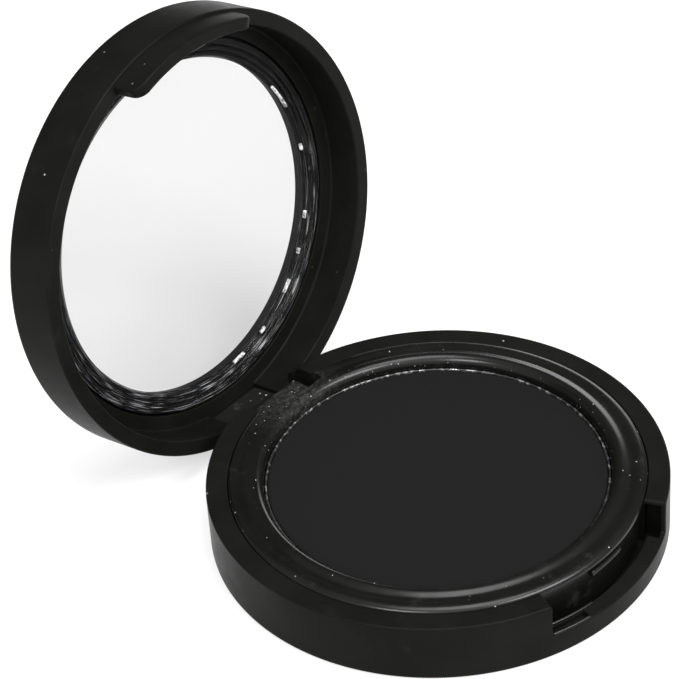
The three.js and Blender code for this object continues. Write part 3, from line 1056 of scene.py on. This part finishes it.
def lid_window():
    """The clear window: a flat pane and a ridged flange around it."""
    flange_edge = SEAT_RADIUS - GAP
    pane_edge = WINDOW_HOLE - GAP
    outline = rounded(
        [
            (0, PANE_INNER, 0),
            (PANE_EDGE, PANE_INNER, 0.1),
            (FLANGE_INNER - 0.2, FLANGE_FACE, 0.1),
            *flange_ridges(FLANGE_INNER, flange_edge - 0.3, FLANGE_FACE, FLANGE_RIDGE, 3),
            (flange_edge, FLANGE_RIDGE, 0.2),
            (flange_edge, FLANGE_BACK, 0.15),
            (pane_edge, FLANGE_BACK, 0.05),
            (pane_edge, PANE_OUTER, 0.2),
            (0, PANE_OUTER, 0),
        ],
        3,
    )
    pane = turned("window", outline)
    for polygon in pane.data.polygons:
        middle = polygon.center / MM
        flat = math.hypot(middle.x, middle.y) < WINDOW_HOLE or middle.z > FLANGE_BACK + 0.05
        polygon.material_index = 1 if flat else 0
    return pane


def clip_bars():
    """Bars along the flange that hold the window."""
    face = LID_CEILING - 0.1
    back = face + CLIP_HEIGHT
    outline = rounded(
        [
            (CLIP_INNER, back, 0),
            (CLIP_INNER, face, 0.1),
            (CLIP_OUTER, face, 0.1),
            (CLIP_OUTER, back, 0),
        ]
    )
    bars, *others = [sector("clip", outline, middle, half_angle, 12, 0.15) for middle, half_angle in CLIPS]
    for bar in others:
        join(bars, bar)
    return bars


def hinge_block():
    """The hinge's leaf, which lies in the lid's wall, and its barrel on the pin."""
    leaf = rounded(
        [
            (LEAF_FRONT, HINGE.z, 0),
            (LEAF_BACK, HINGE.z, 0),
            (LEAF_BACK, LEAF_TOP, 0.2),
            (LID_BORE, LEAF_TOP, 0.25),
            (LID_BORE, LID_MOUTH + 1.2, 0.8),
            (LEAF_FRONT, LID_MOUTH - 0.2, 0.8),
        ]
    )
    piece = pushed("leaf", leaf, chamfered(LEAF_HALF_WIDTH, 0.2), across)
    join(piece, rod("barrel", BARREL_RADIUS, LEAF_HALF_WIDTH - 0.01, 0.2))
    cut(piece, rod("barrel_bore", PIN_BORE, OPEN_END))
    return piece


# ---------------------------------------------------------------- assembly


def finish_piece(obj, name, body, node, materials):
    """Names a piece, gives it its materials, and puts it on its body in place of its CAD node."""
    obj.name = name
    obj.data.name = name
    for material in materials:
        obj.data.materials.append(material)
    clean(obj)
    smooth(obj)
    if body == "lid":
        swing_open(obj)
    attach(obj, body)
    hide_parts(node)


finish_piece(base_shell(), "base_shell_fine", "base", "base_shell", [case_black])
finish_piece(notch_rails(), "notch_rails_fine", "base", "base_shell", [tray_black])
finish_piece(inner_tray(), "inner_tray_fine", "base", "inner_tray", [tray_black])
finish_piece(color_pan(), "color_pan_fine", "base", "color_pan", [pan_metal])
finish_piece(color_cake(), "color_cake_fine", "base", "color_cake", [cake_black])
hinge_pin = rod("pin", PIN_RADIUS, PIN_HALF_LENGTH, 0.15)
finish_piece(hinge_pin, "hinge_pin_fine", "base", "hinge_pin", [pin_metal])
finish_piece(lid_shell(), "lid_shell_fine", "lid", "lid_shell", [case_black])
finish_piece(hinge_block(), "hinge_block_fine", "lid", "hinge_block", [leaf_black_painted_light])

window = lid_window()
finish_piece(window, "lid_window_fine", "lid", "lid_window", [flange_clear, pane_clear])
finish_piece(clip_bars(), "window_clips_fine", "lid", "lid_window", [clip_painted_glint])

pad = frame["nodes"]["pan_adhesive"]
pad.data.materials.clear()
pad.data.materials.append(pad_grey)

# ---------------------------------------------------------------- studio

CAMERA_AZIMUTH = math.radians(-47.168)
CAMERA_ELEVATION = math.radians(37.286)
CAMERA_ROLL = math.radians(-4.375)
CAMERA_DISTANCE = 370.3
CAMERA_AIM = Vector((2.596, 17.774, 20.0))
CAMERA_LENS = 150.3

# The floor lies just under the case, so that the two don't share a plane.
FLOOR_HALF, FLOOR_LEVEL = 4000.0, -0.05
FLOOR_DARK, FLOOR_LIGHT = (0.39, 0.39, 0.39), (0.41, 0.41, 0.41)
FLOOR_GLOW = 0.6
ROOM_DIM, ROOM_BRIGHT = 0.1, 0.95
ROOM_BRIGHT_SIDE = (-0.72, -0.66, 0.2)

# Soft boxes: name, then place, width and height in metres, and power.
LIGHTS = (
    ("key", (0.075, -0.47, 0.58), 0.4, 0.24, 4.6),
    ("side", (-0.54, -0.16, 0.5), 0.2, 0.15, 2.0),
    ("fill", (-0.6, -0.55, 0.85), 1.0, 0.7, 2.2),
    ("edge", (0.8, 0.33, 0.2), 0.35, 0.3, 1.1),
    ("top", (0.03, -0.1, 1.0), 0.6, 0.5, 6.5),
)


def make_camera():
    """A long lens at the photo's viewing angle."""
    back = Vector(
        (
            math.sin(CAMERA_AZIMUTH) * math.cos(CAMERA_ELEVATION),
            -math.cos(CAMERA_AZIMUTH) * math.cos(CAMERA_ELEVATION),
            math.sin(CAMERA_ELEVATION),
        )
    )
    data = bpy.data.cameras.new("camera")
    data.lens = CAMERA_LENS
    data.clip_start = 0.01
    camera = bpy.data.objects.new("camera", data)
    bpy.context.scene.collection.objects.link(camera)
    facing = back.to_track_quat("Z", "Y").to_matrix().to_4x4()
    place = Matrix.Translation((CAMERA_AIM + back * CAMERA_DISTANCE) * MM)
    camera.matrix_world = place @ facing @ Matrix.Rotation(CAMERA_ROLL, 4, "Z")
    bpy.context.scene.camera = camera


def soft_light(name, place, width, height, power):
    """A soft box that faces the object's foot."""
    data = bpy.data.lights.new(name, "AREA")
    data.shape = "RECTANGLE"
    data.size = width
    data.size_y = height
    data.energy = power
    light = bpy.data.objects.new(name, data)
    light.location = place
    light.rotation_euler = Vector(place).to_track_quat("Z", "Y").to_euler()
    bpy.context.scene.collection.objects.link(light)


def make_floor():
    """A pale floor, seen from above only, which glows a little so that it stays white."""
    half, level = FLOOR_HALF, FLOOR_LEVEL
    corners = [(-half, -half, level), (half, -half, level), (half, half, level), (-half, half, level)]
    floor = mesh_object("floor", corners, [(0, 1, 2, 3)])
    nodes = Nodes("floor_white")
    grain = nodes.noise(8, 2.0)
    nodes.set(Base_Color=nodes.mix(grain, FLOOR_DARK, FLOOR_LIGHT))
    nodes.shader.inputs["Roughness"].default_value = 0.9
    nodes.shader.inputs["Specular IOR Level"].default_value = 0.0
    nodes.shader.inputs["Emission Color"].default_value = (1, 1, 1, 1)
    nodes.shader.inputs["Emission Strength"].default_value = FLOOR_GLOW
    below = nodes.tree.nodes.new("ShaderNodeNewGeometry").outputs["Backfacing"]
    nodes.set(Alpha=nodes.maths("SUBTRACT", 1.0, below))
    floor.data.materials.append(nodes.material)


def make_world():
    """A pale room, brighter on its front left side than on its back right side."""
    world = bpy.data.worlds.new("studio")
    world.use_nodes = True
    tree = world.node_tree
    towards = tree.nodes.new("ShaderNodeVectorMath")
    towards.operation = "DOT_PRODUCT"
    towards.inputs[1].default_value = ROOM_BRIGHT_SIDE
    tree.links.new(tree.nodes.new("ShaderNodeTexCoord").outputs["Generated"], towards.inputs[0])
    fade = tree.nodes.new("ShaderNodeMapRange")
    tree.links.new(towards.outputs["Value"], fade.inputs["Value"])
    for key, value in (("From Min", -0.6), ("From Max", 0.8), ("To Min", ROOM_DIM), ("To Max", ROOM_BRIGHT)):
        fade.inputs[key].default_value = value
    tree.links.new(fade.outputs["Result"], tree.nodes["Background"].inputs["Strength"])
    tree.nodes["Background"].inputs["Color"].default_value = (1, 1, 1, 1)
    bpy.context.scene.world = world


make_camera()
make_floor()
make_world()
for light in LIGHTS:
    soft_light(*light)
bpy.context.scene.view_settings.view_transform = "Standard"
